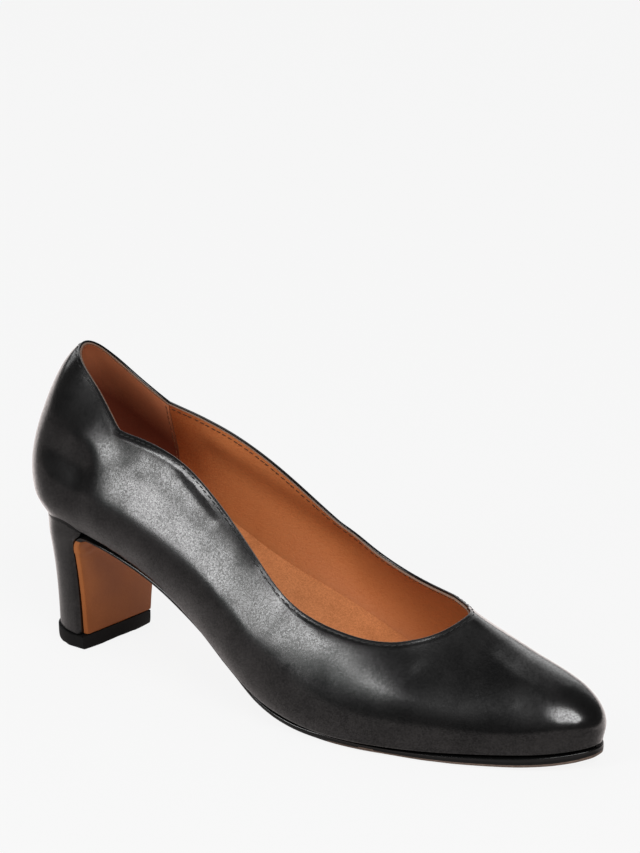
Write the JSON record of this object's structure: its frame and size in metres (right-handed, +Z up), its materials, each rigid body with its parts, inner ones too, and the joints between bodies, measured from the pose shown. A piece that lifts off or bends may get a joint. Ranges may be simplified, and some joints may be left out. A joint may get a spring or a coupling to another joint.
{
  "type": "high heel shoe",
  "caption": "Right-foot court shoe with a rounded toe, low-cut throat, notched collar sides and a D-shaped block heel, lined and soled in tan leather.",
  "frame": {"origin": "on the floor under the middle of the shoe's length and width", "axes": "+X from heel to toe, +Y towards the inner (medial) side of the foot, +Z up"},
  "size_m": [0.2374, 0.0772, 0.112],
  "materials": {
    "upper": "smooth black calf with fine grain, semi-gloss",
    "insole": "tan sock leather, satin",
    "outsole": "tan sole leather with a black polished edge",
    "heel": "black leather cover over a moulded block",
    "top_piece": "matt black rubber"
  },
  "bodies": {
    "root": {"upper": "upper", "insole": "insole", "outsole": "outsole", "heel": "heel", "top_piece": "top_piece"}
  },
  "joints": []
}
